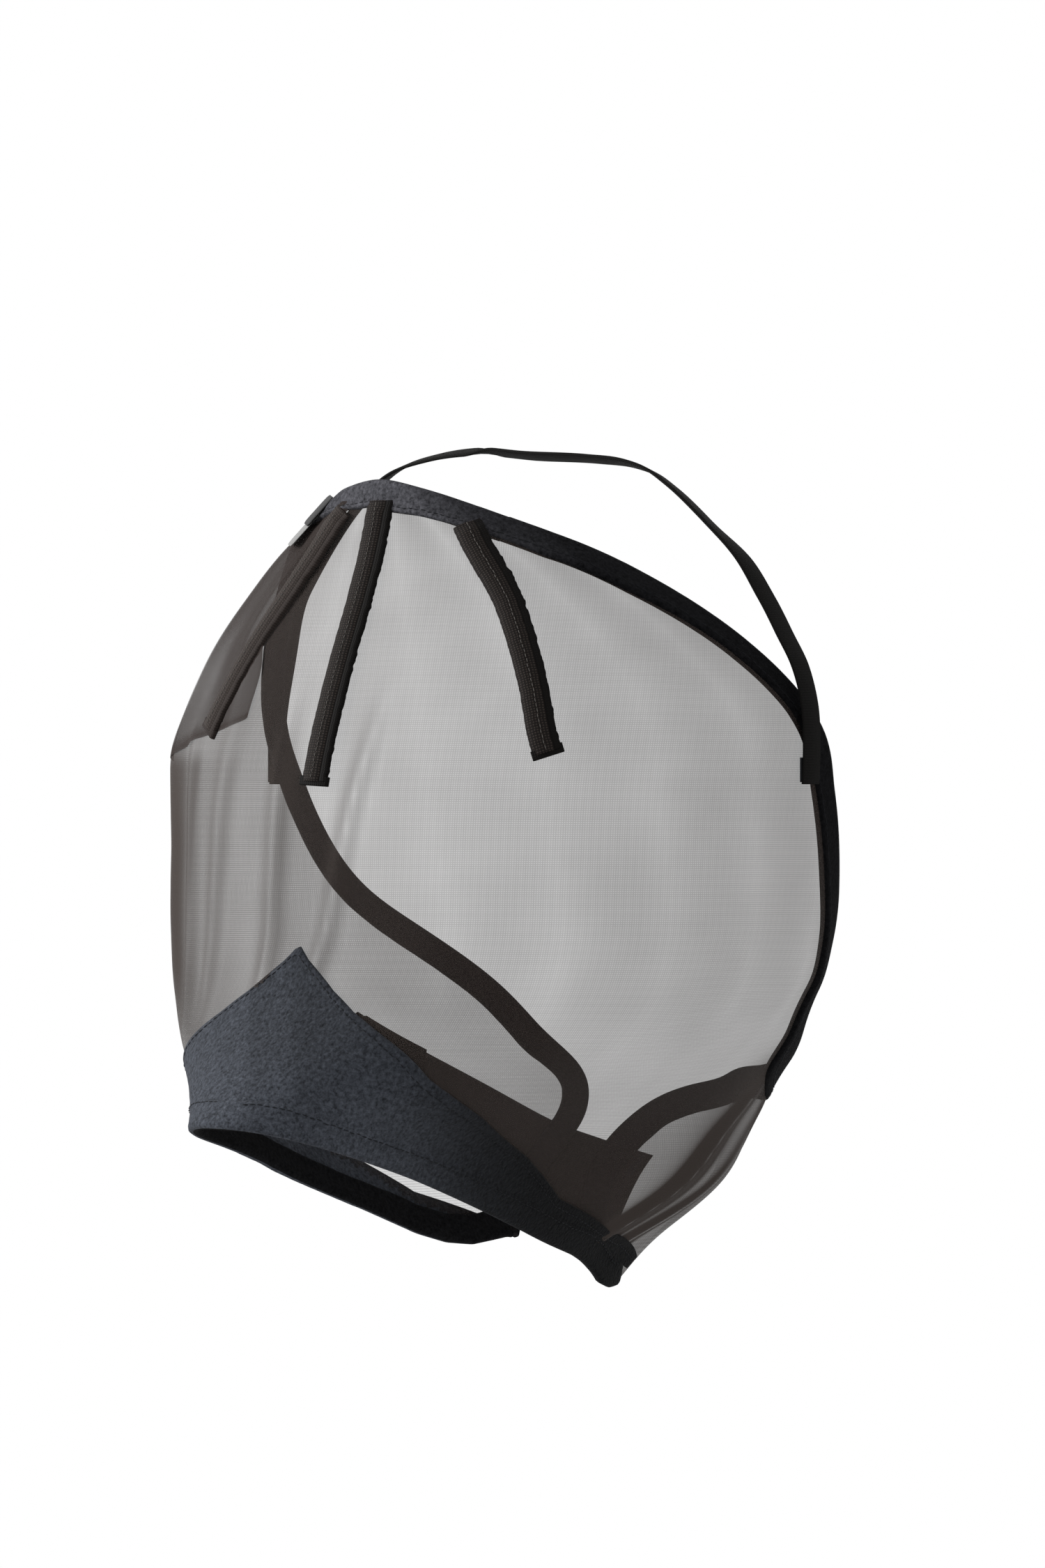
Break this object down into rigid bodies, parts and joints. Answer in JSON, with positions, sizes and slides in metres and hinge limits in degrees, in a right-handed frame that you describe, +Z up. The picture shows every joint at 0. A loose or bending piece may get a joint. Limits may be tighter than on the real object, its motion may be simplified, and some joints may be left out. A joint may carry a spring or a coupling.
{
  "type": "horse fly mask",
  "caption": "Earless horse fly mask: see-through mesh hood with fleece nose, bound neck opening, stiffened eye darts, strap behind the ears and a touch-tape jaw closure.",
  "frame": {"origin": "middle of the brow binding's top edge, where the mask rests on the forehead", "axes": "+Z up, -Y the way the horse faces, +X the horse's near (left) side"},
  "size_m": [0.3652, 0.3975, 0.4134],
  "materials": {
    "fine_mesh": "fine woven mesh, see-through",
    "folded_mesh": "folded and stitched mesh",
    "slate_fleece": "soft polar fleece",
    "dark_binding": "folded fleece tape",
    "black_webbing": "narrow woven webbing",
    "brown_webbing": "wide woven tape",
    "hook_tape": "hook tape",
    "loop_tape": "loop tape",
    "stay_plastic": "flexible boning",
    "thread": "sewing thread",
    "badge_rubber": "soft blank label"
  },
  "bodies": {
    "root": {"mesh_body": "fine_mesh", "nose_fleece_panel": "slate_fleece", "near_nose_hem": "slate_fleece", "off_nose_hem": "slate_fleece", "brow_binding": "slate_fleece", "near_neck_binding": "dark_binding", "off_neck_binding": "dark_binding", "centre_dart": "folded_mesh", "centre_dart_stay": "stay_plastic", "centre_dart_tab": "folded_mesh", "near_dart": "folded_mesh", "near_dart_stay": "stay_plastic", "near_dart_tab": "folded_mesh", "off_dart": "folded_mesh", "off_dart_stay": "stay_plastic", "off_dart_tab": "folded_mesh", "near_strap_tack": "thread", "off_strap_tack": "thread", "closure_loop_patch": "loop_tape", "blank_badge": "badge_rubber"},
    "jaw_flap": {"jaw_flap_mesh": "fine_mesh", "jaw_flap_binding": "dark_binding", "closure_strap_base": "brown_webbing", "closure_stitch_pad": "thread"},
    "closure_tail": {"closure_strap": "brown_webbing", "closure_hook_patch": "hook_tape"},
    "poll_strap": {"poll_strap": "black_webbing"}
  },
  "joints": [
    {"name": "poll_strap_swing", "type": "hinge", "parent": "root", "child": "poll_strap", "pos_m": [0, 0.118, -0.15], "axis": [1, 0, 0], "range_deg": [-60, 12]},
    {"name": "jaw_flap_open", "type": "hinge", "parent": "root", "child": "jaw_flap", "pos_m": [0, 0.3015, -0.3079], "axis": [0, -0.698, -0.7161], "range_deg": [0, 60]},
    {"name": "closure_strap_peel", "type": "hinge", "parent": "jaw_flap", "child": "closure_tail", "pos_m": [-0.0387, 0.2035, -0.3425], "axis": [0.2409, -0.7208, -0.6499], "range_deg": [0, 110]}
  ]
}
